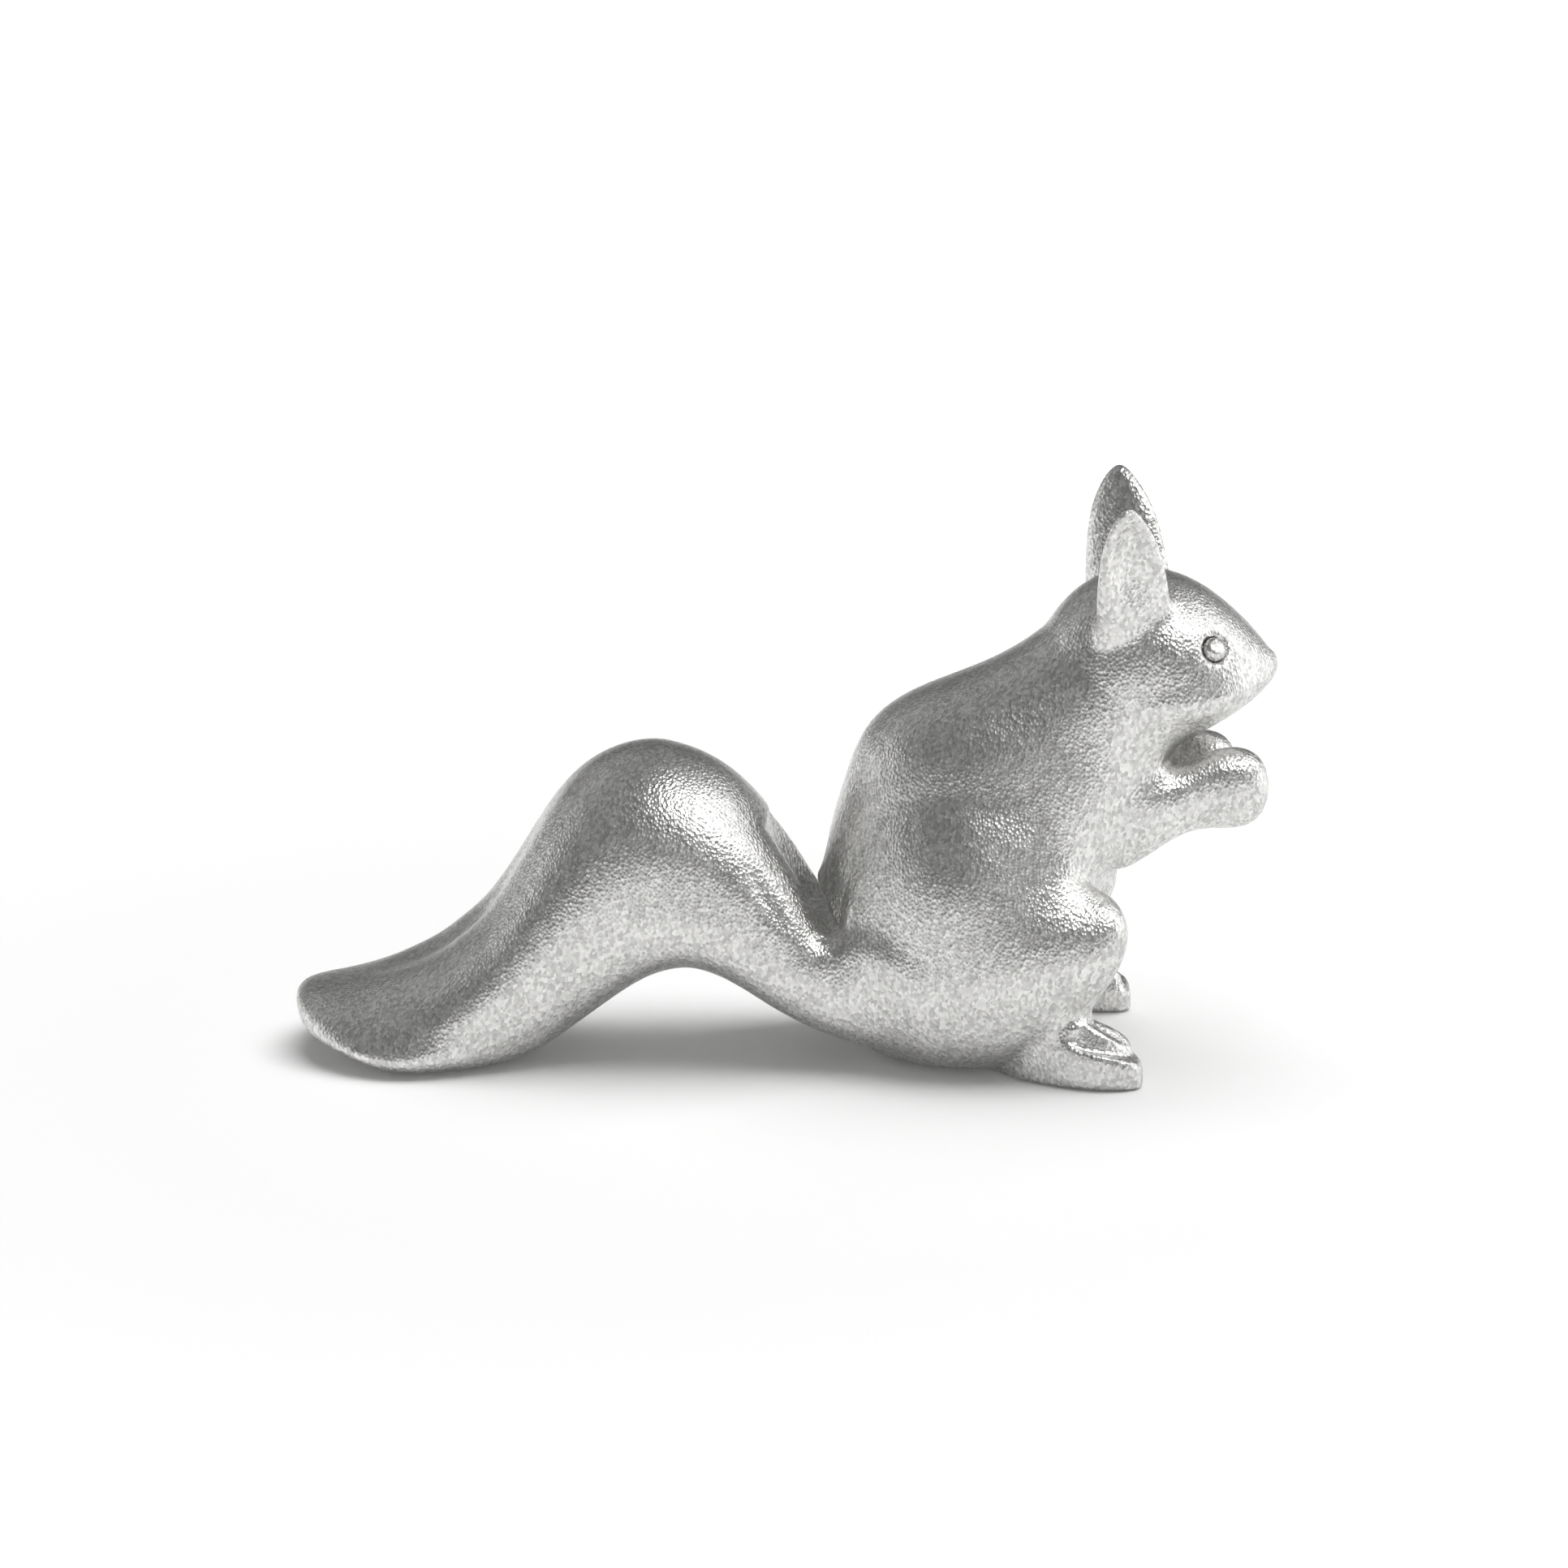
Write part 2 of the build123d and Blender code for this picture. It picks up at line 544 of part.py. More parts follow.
def main():
    torso, feet = build_torso_and_feet()
    tail = build_tail()
    head, ears = build_head_and_ears()
    neck = (*neck_plane(), NECK_DOWEL_DIAMETER, NECK_DOWEL_LENGTH)
    tail_size = (TAIL_DOWEL_DIAMETER, TAIL_DOWEL_LENGTH)
    tails = [(middle, Vector(1, 0, 0), *tail_size) for middle in tail_dowel_middles()]
    ear_pins = paired_pins(ear_dowel_axis, EAR_DOWEL_DIAMETER, EAR_DOWEL_LENGTH)
    arm_pins = paired_pins(arm_dowel_axis, ARM_DOWEL_DIAMETER, ARM_DOWEL_LENGTH)
    foot_pins = paired_pins(foot_dowel_axis, FOOT_DOWEL_DIAMETER, FOOT_DOWEL_LENGTH)
    torso_pins = [neck, *tails, *arm_pins.values(), *foot_pins.values()]
    nodes = {
        "torso": drilled(torso, [dowel_hole(*pin) for pin in torso_pins]),
        "tail": drilled(tail, [dowel_hole(*pin) for pin in tails]),
        "head": drilled(head, [dowel_hole(*pin) for pin in (neck, *ear_pins.values())]),
        "neck_dowel": dowel(*neck),
        "tail_dowels": Compound(children=[dowel(*pin) for pin in tails]),
        "ear_dowels": Compound(children=[dowel(*pin) for pin in ear_pins.values()]),
        "arm_dowels": Compound(children=[dowel(*pin) for pin in arm_pins.values()]),
        "foot_dowels": Compound(children=[dowel(*pin) for pin in foot_pins.values()]),
    }
    for side, word, length in ((RIGHT, "right", HAND_RIGHT_LENGTH), (LEFT, "left", HAND_LEFT_LENGTH)):
        nodes["ear_" + word] = drilled(ears[side], [dowel_hole(*ear_pins[side])])
        nodes["arm_" + word] = drilled(build_arm(side, length), [dowel_hole(*arm_pins[side])])
        nodes["foot_" + word] = drilled(feet[side], [dowel_hole(*foot_pins[side])])
        nodes["eye_" + word] = eye_stud(side)
    os.makedirs("parts", exist_ok=True)
    for name, shape in nodes.items():
        export_step(shape, "parts/" + name + ".step")


if __name__ == "__main__":
    main()
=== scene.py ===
import bmesh
import bpy
import math
import numpy as np
import openvdb
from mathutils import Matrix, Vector


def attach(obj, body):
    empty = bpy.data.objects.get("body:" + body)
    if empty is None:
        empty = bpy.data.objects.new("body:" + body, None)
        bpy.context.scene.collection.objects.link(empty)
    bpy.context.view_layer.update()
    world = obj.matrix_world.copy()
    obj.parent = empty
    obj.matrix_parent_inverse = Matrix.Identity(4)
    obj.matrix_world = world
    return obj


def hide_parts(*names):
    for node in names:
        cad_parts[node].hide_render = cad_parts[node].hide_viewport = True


# Squirrel figurine in satin cast metal. The forms are worked out in millimetres, in the frame of the packed
# model, as a field of distances to the surface, and turned into one smooth skin. The skin is then parted at
# the seams between the castings, so that each casting stays a piece of its own.

MM = 0.001

# Distance field: the size of its cells, the cut-off of its distances, and its corners
VOXEL = 0.25
BAND = 3.5
FIELD_LOW = np.array([-54.0, -20.0, -4.0])
FIELD_HIGH = np.array([54.0, 20.0, 64.0])
# The castings are joined at this small offset, so that no sheet is left at a seam
JOIN_OFFSET = 0.04
# A blur reaches this many spreads away
BLUR_REACH = 3
# A form fades out over this share of its squared reach
FADE = 0.6
# Room left round a form that is set into the field
FORM_MARGIN = 1

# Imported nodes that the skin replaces, the pins that stay inside, and the figurine's two sides
CASTINGS = (
    "torso", "head", "tail", "ear_right", "ear_left", "arm_right", "arm_left", "foot_right", "foot_left",
)
DOWELS = ("neck_dowel", "tail_dowels", "ear_dowels", "arm_dowels", "foot_dowels")
SIDES = (("right", -1), ("left", 1))
SIGNS = (-1, 1)

# Seams between the castings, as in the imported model
TAIL_SEAM_X = 3.4
ARM_SEAM_X = 41.2
NECK_POINT = (33.6, 0.0, 38.65)
NECK_DIRECTION = (0.618, 0.0, 0.786)
HAND_TOP_Z = 32.75
EAR_SEAM_Y = 6.67
EAR_SEAM_Z = 48.74
EAR_SEAM_LEAN = math.radians(42)
ANKLE_X = 27.6
ANKLE_LEAN = math.radians(17)
ANKLE_TOP_Z = 7.2
ANKLE_SIDE_Y = 8.8

# Where the seams are looked for: how far off each one, and the limits beside it
SEAM_REACH = 1.0
EAR_REAR_X = 28.0
EAR_INNER_Y = 2.0
ANKLE_REAR_X = 26.0
ANKLE_FRONT_X = 32.0
ANKLE_TOP_REAR_X = 28.0
ANKLE_SIDE_RISE = 0.5
CUT_DISTANCE = 1e-4
MERGE_DISTANCE = 1e-5

# Fillets on both sides: centre, reach of the ellipsoid that holds them, and spread
SOFT_JOINS = (
    ((-5.0, 0.0, 27.5), (9.0, 6.0, 8.0), 2.6),
    ((5.0, 4.0, 17.0), (7.0, 8.0, 8.0), 1.1),
    ((11.0, 9.0, 12.5), (6.0, 6.0, 5.0), 1.8),
    ((37.0, 9.5, 27.5), (8.0, 6.0, 7.5), 1.6),
    ((33.5, 7.5, 44.5), (8.0, 6.0, 6.0), 2.0),
    ((29.0, 12.0, 7.0), (4.5, 6.0, 3.5), 1.6),
)
# Rounded forms: centre, reach, spread, and how far the skin is brought back out
ROUND_FORMS = (
    ((-5.5, 0.0, 27.5), (8.5, 7.0, 8.5), 1.8, 0.33),
    ((16.0, 13.0, 18.0), (18.0, 8.0, 13.0), 2.8, 0.55),
    ((7.5, 11.0, 8.0), (9.0, 8.0, 8.0), 2.0, 0.3),
)
# Belly: the full form between the haunches
BELLY_CENTRE = (19.0, 0.0, 17.5)
BELLY_HALVES = (12.0, 14.9, 12.0)
# Whole skin: the fill of its creases before the carving, and its softness after that
SKIN_FILL = 0.45
SKIN_SOFTNESS = 0.25

# Ears: root and tip of each leaf's middle line, and the hollow along it
EAR_ROOT = (35.2, 5.4, 44.0)
EAR_TIP = (34.2, 9.5, 59.3)
EAR_YAW = math.radians(20)
EAR_LENGTHS = {"right": 7.6, "left": 8.6}
# Each row: way from root to tip, half width of the hollow in half lengths, its floor, and its brim
EAR_HOLLOW = (
    (0.06, 0.60, 3.9, 4.3),
    (0.14, 0.76, 2.9, 3.5),
    (0.22, 0.84, 2.05, 2.8),
    (0.30, 0.84, 1.35, 2.3),
    (0.38, 0.82, 0.75, 1.85),
    (0.46, 0.80, 0.25, 1.45),
    (0.54, 0.77, -0.10, 1.15),
    (0.62, 0.72, -0.30, 1.0),
    (0.74, 0.60, -0.30, 0.85),
    (0.84, 0.38, 0.0, 0.7),
    (0.94, 0.14, 0.45, 0.65),
)
EAR_MARGIN = 6
# Evening out of the hollowed ear: its middle, reach, spread and lift
EAR_MIDDLE = (34.5, 8.0, 52.0)
EAR_REACH = (7.0, 5.0, 9.0)
EAR_SPREAD = 0.4
EAR_LIFT = 0.05

# Feet: the inner lobe stands on the lower outer one. Each row: x, height of the outer lobe, top of the step
LOBE_CENTRE = (30.5, 11.5)
LOBE_HALVES = (4.3, 2.7)
LOBE_STEP = 0.8
LOBE_HEIGHTS = ((27.4, 6.0, 6.0), (28.6, 4.9, 5.5), (30.0, 4.3, 6.6), (33.0, 3.7, 8.0), (37.0, 2.4, 8.0))
LOBE_SLOPE = 0.5
LOBE_LOW = (26.0, 7.0, -1.0)
LOBE_HIGH = (37.5, 18.0, 9.0)
GROOVE_DEPTH = 0.3
GROOVE_WIDTH = 0.45

# Tail: the cleft on its front slope, laid out along the slope. Each row: way down, half width, depth
SLOPE_OUT = (0.841, 0.0, 0.541)
SLOPE_DOWN = (0.541, 0.0, -0.841)
CREST_LEVEL = 11.5
CREST_SLAB = 1.0
CLEFT_SLOPE = 0.75
CLEFT_LOW = (-12.0, -8.0, 6.0)
CLEFT_HIGH = (9.0, 8.0, 30.0)
CLEFT = (
    (-21.5, 2.5, 0.0),
    (-19.5, 3.4, 0.8),
    (-17.5, 4.2, 2.1),
    (-15.5, 5.0, 3.1),
    (-13.0, 6.1, 3.8),
    (-11.0, 6.5, 3.0),
    (-9.5, 6.8, 0.0),
)
# The crease on its flank, from end to end
CREASE = ((-3.8, 9.0, 22.3), (0.5, 10.7, 14.7))
CREASE_DEPTH = 0.4
CREASE_WIDTH = 0.7
CREASE_MARGIN = 2

# Worked marks where the tail meets the rump and on the ends of the hands: centre, reach, depth and pitch
MARKS = ((4.6, 8.0, 12.2), (2.6, 3.0, 3.4), 0.045, 0.75)
HAND_MARKS = ((47.8, 4.0, 28.5), (2.6, 4.5, 4.0), 0.02, 0.75)
MARK_SLANT = 0.3
# How the marks wander along x and z, and along y: height and waves
WANDER_ALONG = (0.6, 1.7, 0.8)
WANDER_ACROSS = (0.4, 2.3)

# Jaw: the places that its rolled edge passes through, and its height there
JAW = (
    ((34.5, 8.7, 37.2), 0.0),
    ((38.0, 8.9, 37.7), 0.5),
    ((41.0, 8.6, 38.0), 0.7),
    ((43.4, 7.9, 38.3), 0.65),
    ((46.8, 5.3, 39.2), 0.45),
    ((49.0, 2.0, 40.3), 0.0),
)
JAW_WIDTH = 1.6
JAW_MARGIN = 4

# Nose pad and the ring drilled round each eye
NOSE = (48.9, 0.0, 41.0)
NOSE_RADIUS = 1.0
EYE_RING_RADIUS = 1.35
EYE_RING_DEPTH = 0.13
EYE_RING_WIDTH = 0.4
EYE_RING_MARGIN = 3

# Eye studs: place, direction, sizes, the rounding of the edge, the crown of the face, and steps of turning
EYE_CENTRE = (43.05, 6.25, 43.6)
EYE_FORWARD = math.radians(37.5)
EYE_UPWARD = math.radians(38)
EYE_RADIUS = 1.2
EYE_PROUD = 0.8
EYE_DEPTH = 1.8
EYE_EDGE = 0.65
EYE_CROWN = 0.06
EYE_STEPS = 48
EDGE_STEPS = 9
EDGE_DEGREES = 10

# Floor, in metres: its size, its white, and its glow close to the figurine and far away
FLOOR_REACH = 6.0
FLOOR_GAP = 0.00002
FLOOR_WHITE = 0.86
FLOOR_GLOW_NEAR = 0.05
FLOOR_GLOW_FAR = 0.7
FLOOR_NEAR = 0.07
FLOOR_FAR = 0.8

# Room: grey levels from the floor up, and where each stands between straight down and straight up
BELOW_GREY = (0.95, 0.95, 0.945)
HORIZON_GREY = (0.6, 0.6, 0.595)
LOW_SKY_GREY = (0.13, 0.13, 0.128)
SKY_GREY = (0.24, 0.24, 0.237)
BELOW_STOP = 0.498
HORIZON_STOP = 0.502
LOW_SKY_STOP = 0.61
SKY_STOP = 0.85

# Softboxes: name, direction, size in metres and power. The shine lamps only show on metal, the fill lamp
# only on matt things
LAMP_DISTANCE = 2.0
SHINE_LAMPS = (
    ("key", (0.42, -0.46, 0.78), 0.8, 15.0),
    ("front", (0.85, 0.1, 0.42), 1.8, 16.0),
    ("side", (-0.65, 0.42, 0.63), 1.6, 1.4),
    ("left", (-0.95, 0.1, 0.16), 1.2, 3.5),
)
FILL_LAMP = ("fill", (0.25, 0.1, 0.96), 2.0, 48.0)

# Metal: colour and roughness, the small cells of its grain, patches of polish, and ripples
SILVER = (0.87, 0.865, 0.85)
SATIN = 0.33
SATIN_SPREAD = 0.03
GRAIN_TURN = (0.5, 0.9, 0.0)
GRAIN_SCALE = 3300
GRAIN_STRETCH = 0.75
GRAIN_DEPTH = 0.00006
GRAIN_SHADE = 0.58
PATCH_SCALE = 160
PATCH_DETAIL = 1.0
PATCH_RANGE = (0.3, 0.7)
RIPPLE_SCALE = 300
RIPPLE_DETAIL = 2.0
RIPPLE_DEPTH = 0.00003
EYE_GRAIN = 0.5
STEEL = (0.6, 0.6, 0.6)
STEEL_ROUGHNESS = 0.3
STEEL_GRAIN = 0.2

# Camera: the film's width and the lens in millimetres, and distances in metres
SENSOR_WIDTH = 36.0
LENS = 158.1
CLIP_START = 0.01
CAMERA_TILT = math.radians(16)
CAMERA_DISTANCE = 0.7
AIM_HEIGHT = 0.0278


def grid_shape():
    """Number of field samples along x, y and z."""
    return tuple(np.round((FIELD_HIGH - FIELD_LOW) / VOXEL).astype(int) + 1)


def field_axes():
    """The places of the samples, as three arrays that broadcast against one another."""
    axes = []
    for low, count in zip(FIELD_LOW, grid_shape()):
        axes.append(low + VOXEL * np.arange(count, dtype=np.float32))
    return axes[0][:, None, None], axes[1][None, :, None], axes[2][None, None, :]


def first_sample():
    """The whole-number place of the first sample in the distance grid."""
    return tuple(int(value) for value in np.round(FIELD_LOW / VOXEL))


def distances_to(points, triangles):
    """The field of signed distances to a closed mesh, cut off at the band."""
    transform = openvdb.createLinearTransform(voxelSize=VOXEL)
    points = np.ascontiguousarray(points, dtype=np.float32)
    triangles = np.ascontiguousarray(triangles, dtype=np.uint32)
    grid = openvdb.FloatGrid.createLevelSetFromPolygons(
        points, triangles=triangles, transform=transform, halfWidth=BAND / VOXEL)
    field = np.empty(grid_shape(), dtype=np.float32)
    grid.copyToArray(field, ijk=first_sample())
    return np.clip(field, -BAND, BAND)


def mesh_of(field, level=0.0):
    """Points and quads of the surface where the field has a level."""
    grid = openvdb.FloatGrid(BAND)
    grid.transform = openvdb.createLinearTransform(voxelSize=VOXEL)
    grid.copyFromArray(np.ascontiguousarray(field), ijk=first_sample())
    return grid.convertToQuads(isovalue=level)


def node_mesh(name):
    """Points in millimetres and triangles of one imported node."""
    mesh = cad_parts[name].data
    mesh.calc_loop_triangles()
    points = np.empty(len(mesh.vertices) * 3, dtype=np.float32)
    mesh.vertices.foreach_get("co", points)
    corners = np.empty(len(mesh.loop_triangles) * 3, dtype=np.int32)
    mesh.loop_triangles.foreach_get("vertices", corners)
    return points.reshape(-1, 3) / MM, corners.reshape(-1, 3)


def blurred(field, spread):
    """The field smoothed by a bell curve of a spread in millimetres."""
    reach = int(math.ceil(BLUR_REACH * spread / VOXEL))
    weights = np.exp(-0.5 * (np.arange(-reach, reach + 1) * VOXEL / spread) ** 2)
    weights = (weights / weights.sum()).astype(np.float32)
    for axis in range(3):
        padded = np.moveaxis(field, axis, 0)
        padded = np.concatenate([padded[:1]] * reach + [padded] + [padded[-1:]] * reach)
        count = field.shape[axis]
        total = weights[0] * padded[:count]
        for step in range(1, 2 * reach + 1):
            total += weights[step] * padded[step:step + count]
        field = np.moveaxis(total, 0, axis)
    return field


def casting_field():
    """One field for all castings together, with no sheet left at the seams."""
    all_points = []
    all_triangles = []
    count = 0
    for name in CASTINGS:
        points, triangles = node_mesh(name)
        all_points.append(points)
        all_triangles.append(triangles + count)
        count += len(points)
    field = distances_to(np.concatenate(all_points), np.concatenate(all_triangles))
    points, quads = mesh_of(field, JOIN_OFFSET)
    triangles = np.concatenate([quads[:, [0, 1, 2]], quads[:, [0, 2, 3]]])
    return distances_to(points, triangles) + JOIN_OFFSET


def crop(low, high):
    """The part of the field's grid between two corners given in millimetres."""
    slices = []
    for axis, count in enumerate(grid_shape()):
        start = int(math.floor((low[axis] - FIELD_LOW[axis]) / VOXEL))
        stop = int(math.ceil((high[axis] - FIELD_LOW[axis]) / VOXEL)) + 1
        slices.append(slice(max(0, start), min(count, stop)))
    return tuple(slices)


def places(box):
    """The places of the samples in a crop, as three arrays that broadcast against one another."""
    x, y, z = field_axes()
    return x[box[0]], y[:, box[1]], z[:, :, box[2]]


def smooth(share):
    """A share between nothing and one, with a soft start and a soft end."""
    return share * share * (3 - 2 * share)


def faded(away):
    """One well inside a form and nothing past its edge, where the measure away reaches one."""
    return smooth(np.clip((1 - away) / FADE, 0, 1))


def ellipsoid_share(x, y, z, centre, reach):
    """A share that is one in the middle of an ellipsoid and fades to nothing at its edge."""
    away = ((x - centre[0]) / reach[0]) ** 2
    away = away + ((y - centre[1]) / reach[1]) ** 2
    away = away + ((z - centre[2]) / reach[2]) ** 2
    return faded(away)


def mirrored(centre, sign):
    """A place on one side of the figurine."""
    return np.array((centre[0], sign * centre[1], centre[2]))


def along_run(x, y, z, start, end):
    """Way from one place to another, from nothing to one, and the squared distance to their line."""
    run = end - start
    way = ((x - start[0]) * run[0] + (y - start[1]) * run[1] + (z - start[2]) * run[2]) / run.dot(run)
    way = np.clip(way, 0, 1)
    squares = [(part - start[axis] - way * run[axis]) ** 2 for axis, part in enumerate((x, y, z))]
    return way, sum(squares)


def soften(field, centre, reach, spread):
    """Fills the creases inside an ellipsoid with fillets."""
    margin = np.array(reach) + BLUR_REACH * spread
    box = crop(centre - margin, centre + margin)
    x, y, z = places(box)
    part = field[box]
    filled = np.minimum(part, blurred(part, spread))
    field[box] = part + ellipsoid_share(x, y, z, centre, reach) * (filled - part)


def round_off(field, centre, reach, spread, lift):
    """Evens out the skin inside an ellipsoid, then brings it back out by what the evening took away."""
    margin = np.array(reach) + BLUR_REACH * spread
    box = crop(centre - margin, centre + margin)
    x, y, z = places(box)
    part = field[box]
    field[box] = part + ellipsoid_share(x, y, z, centre, reach) * (blurred(part, spread) - lift - part)


def hollow_ear(field, word, sign):
    """Hollows one ear from its outer face, out over the cheek below it."""
    root = mirrored(EAR_ROOT, sign)
    tip = mirrored(EAR_TIP, sign)
    rise = tip - root
    along = np.array((math.cos(EAR_YAW), -sign * math.sin(EAR_YAW), 0.0))
    outward = np.cross(along, rise) * -sign
    outward /= np.linalg.norm(outward)
    box = crop(np.minimum(root, tip) - EAR_MARGIN, np.maximum(root, tip) + EAR_MARGIN)
    x, y, z = places(box)
    way = ((x - root[0]) * rise[0] + (y - root[1]) * rise[1] + (z - root[2]) * rise[2]) / rise.dot(rise)
    offset = [part - root[axis] - way * rise[axis] for axis, part in enumerate((x, y, z))]
    across = sum(offset[axis] * along[axis] for axis in range(3))
    out = sum(offset[axis] * outward[axis] for axis in range(3))
    ways, widths, floors, brims = zip(*EAR_HOLLOW)
    half = np.interp(way, ways, widths) * EAR_LENGTHS[word] / 2
    floor = np.interp(way, ways, floors)
    brim = np.interp(way, ways, brims)
    level = floor + (brim - floor) * (across / half) ** 2
    hollow = np.where((way > ways[0]) & (way < ways[-1]), out - level, -BAND)
    field[box] = np.maximum(field[box], hollow)


def lower_outer_lobe(field, sign):
    """Steps the outer lobe of one foot down from the inner one and draws the groove between them."""
    near, far = sorted((sign * LOBE_LOW[1], sign * LOBE_HIGH[1]))
    box = crop((LOBE_LOW[0], near, LOBE_LOW[2]), (LOBE_HIGH[0], far, LOBE_HIGH[2]))
    x, y, z = places(box)
    reaches, heights, tops = zip(*LOBE_HEIGHTS)
    low = np.interp(x, reaches, heights)
    top = np.interp(x, reaches, tops)
    ahead = np.maximum(x - LOBE_CENTRE[0], 0) / LOBE_HALVES[0]
    aside = np.maximum(sign * y - LOBE_CENTRE[1], 0) / LOBE_HALVES[1]
    outside = (np.sqrt(ahead * ahead + aside * aside) - 1) * LOBE_HALVES[1]
    share = smooth(np.clip(outside / LOBE_STEP + 0.5, 0, 1))
    level = low + (1 - share) * (tops[-1] - low)
    step = np.minimum((z - level) * LOBE_SLOPE, top - z)
    groove = np.exp(-((outside - LOBE_STEP / 2) ** 2 + (z - low) ** 2) / GROOVE_WIDTH ** 2)
    groove = groove * np.clip((x - reaches[1]) / (reaches[2] - reaches[1]), 0, 1)
    field[box] = np.maximum(field[box], step) + GROOVE_DEPTH * groove


def open_cleft(field):
    """Opens the cleft between the tail's lobes into a sharp valley on the front slope."""
    box = crop(CLEFT_LOW, CLEFT_HIGH)
    x, y, z = places(box)
    out = x * SLOPE_OUT[0] + z * SLOPE_OUT[2]
    down = x * SLOPE_DOWN[0] + z * SLOPE_DOWN[2]
    downs, widths, depths = zip(*CLEFT)
    half = np.interp(down, downs, widths)
    depth = np.interp(down, downs, depths)
    valley = (out - CREST_LEVEL + depth * (1 - np.abs(y) / half)) * CLEFT_SLOPE
    valley = np.minimum(valley, CREST_LEVEL + CREST_SLAB - out)
    valley = np.where(depth > 0, valley, -BAND)
    field[box] = np.maximum(field[box], valley)


def draw_crease(field, sign):
    """A shallow crease down the flank of the tail."""
    start = mirrored(CREASE[0], sign)
    end = mirrored(CREASE[1], sign)
    box = crop(np.minimum(start, end) - CREASE_MARGIN, np.maximum(start, end) + CREASE_MARGIN)
    x, y, z = places(box)
    way, square = along_run(x, y, z, start, end)
    field[box] = field[box] + CREASE_DEPTH * np.sin(math.pi * way) * np.exp(-square / CREASE_WIDTH ** 2)


def mark(field, sign, centre, reach, depth, pitch):
    """Small worked marks that fade out at the edge of an ellipsoid."""
    centre = mirrored(centre, sign)
    box = crop(centre - reach, centre + reach)
    x, y, z = places(box)
    wander = WANDER_ALONG[0] * np.sin(WANDER_ALONG[1] * x + WANDER_ALONG[2] * z)
    wander = wander + WANDER_ACROSS[0] * np.sin(WANDER_ACROSS[1] * y)
    wave = np.sin(2 * math.pi * (z + MARK_SLANT * x) / pitch + wander)
    field[box] = field[box] + depth * wave * ellipsoid_share(x, y, z, centre, reach)


def roll_jaw(field, sign):
    """Raises a soft edge along the jaw, so that the cheek above it faces a little upwards."""
    points = [(mirrored(place, sign), height) for place, height in JAW]
    corners = [place for place, height in points]
    box = crop(np.min(corners, axis=0) - JAW_MARGIN, np.max(corners, axis=0) + JAW_MARGIN)
    x, y, z = places(box)
    ridge = 0
    for (start, low), (end, high) in zip(points, points[1:]):
        way, square = along_run(x, y, z, start, end)
        height = low + way * (high - low)
        ridge = np.maximum(ridge, height * np.exp(-square / JAW_WIDTH ** 2))
    field[box] = field[box] - ridge


def fill_belly(field):
    """Sets an egg-shaped form into the body, so that the flank falls almost straight below its middle."""
    margin = np.array(BELLY_HALVES) + FORM_MARGIN
    box = crop(BELLY_CENTRE - margin, BELLY_CENTRE + margin)
    offsets = [place - middle for place, middle in zip(places(box), BELLY_CENTRE)]
    away = np.sqrt(sum((offset / half) ** 2 for offset, half in zip(offsets, BELLY_HALVES)))
    field[box] = np.minimum(field[box], (away - 1) * min(BELLY_HALVES))


def add_sphere(field, centre, radius):
    """Sets a round knob on the skin."""
    box = crop(centre - radius - FORM_MARGIN, centre + radius + FORM_MARGIN)
    x, y, z = places(box)
    distance = np.sqrt((x - centre[0]) ** 2 + (y - centre[1]) ** 2 + (z - centre[2]) ** 2)
    field[box] = np.minimum(field[box], distance - radius)


def ring_eye(field, sign):
    """Sinks a narrow ring into the head round one eye."""
    centre, direction = eye_axis(sign)
    box = crop(np.array(centre) - EYE_RING_MARGIN, np.array(centre) + EYE_RING_MARGIN)
    x, y, z = places(box)
    offset = (x - centre[0], y - centre[1], z - centre[2])
    height = sum(offset[axis] * direction[axis] for axis in range(3))
    radius = np.sqrt(np.maximum(sum(part * part for part in offset) - height * height, 0))
    ring = np.exp(-((radius - EYE_RING_RADIUS) ** 2 + height * height) / EYE_RING_WIDTH ** 2)
    field[box] = field[box] + EYE_RING_DEPTH * ring


def build_field():
    """The field of the finished skin."""
    field = casting_field()
    fill_belly(field)
    for centre, reach, spread in SOFT_JOINS:
        for sign in SIGNS:
            soften(field, mirrored(centre, sign), reach, spread)
    for centre, reach, spread, lift in ROUND_FORMS:
        for sign in SIGNS:
            round_off(field, mirrored(centre, sign), reach, spread, lift)
    add_sphere(field, np.array(NOSE), NOSE_RADIUS)
    field = np.minimum(field, blurred(field, SKIN_FILL))
    open_cleft(field)
    for word, sign in SIDES:
        hollow_ear(field, word, sign)
        round_off(field, mirrored(EAR_MIDDLE, sign), EAR_REACH, EAR_SPREAD, EAR_LIFT)
        lower_outer_lobe(field, sign)
        draw_crease(field, sign)
        roll_jaw(field, sign)
    field = blurred(field, SKIN_SOFTNESS)
    for sign in SIGNS:
        mark(field, sign, *MARKS)
        mark(field, sign, *HAND_MARKS)
        ring_eye(field, sign)
    x, y, z = field_axes()
    return np.maximum(field, -z)


def skin_mesh(field):
    """The skin as a bmesh in millimetres."""
    points, quads = mesh_of(field)
    mesh = bpy.data.meshes.new("skin")
    mesh.from_pydata(points.tolist(), [], quads.tolist())
    mesh.validate()
    skin = bmesh.new()
    skin.from_mesh(mesh)
    bpy.data.meshes.remove(mesh)
    bmesh.ops.remove_doubles(skin, verts=skin.verts, dist=MERGE_DISTANCE)
    bmesh.ops.recalc_face_normals(skin, faces=skin.faces)
    return skin


def cut(skin, point, direction, inside):
    """Draws one seam on the skin where a test holds, without opening it."""
    faces = [face for face in skin.faces if inside(face.calc_center_median())]
    geometry = set(faces)
    for face in faces:
        geometry.update(face.edges)
        geometry.update(face.verts)
    bmesh.ops.bisect_plane(skin, geom=list(geometry), plane_co=point, plane_no=direction, dist=CUT_DISTANCE)


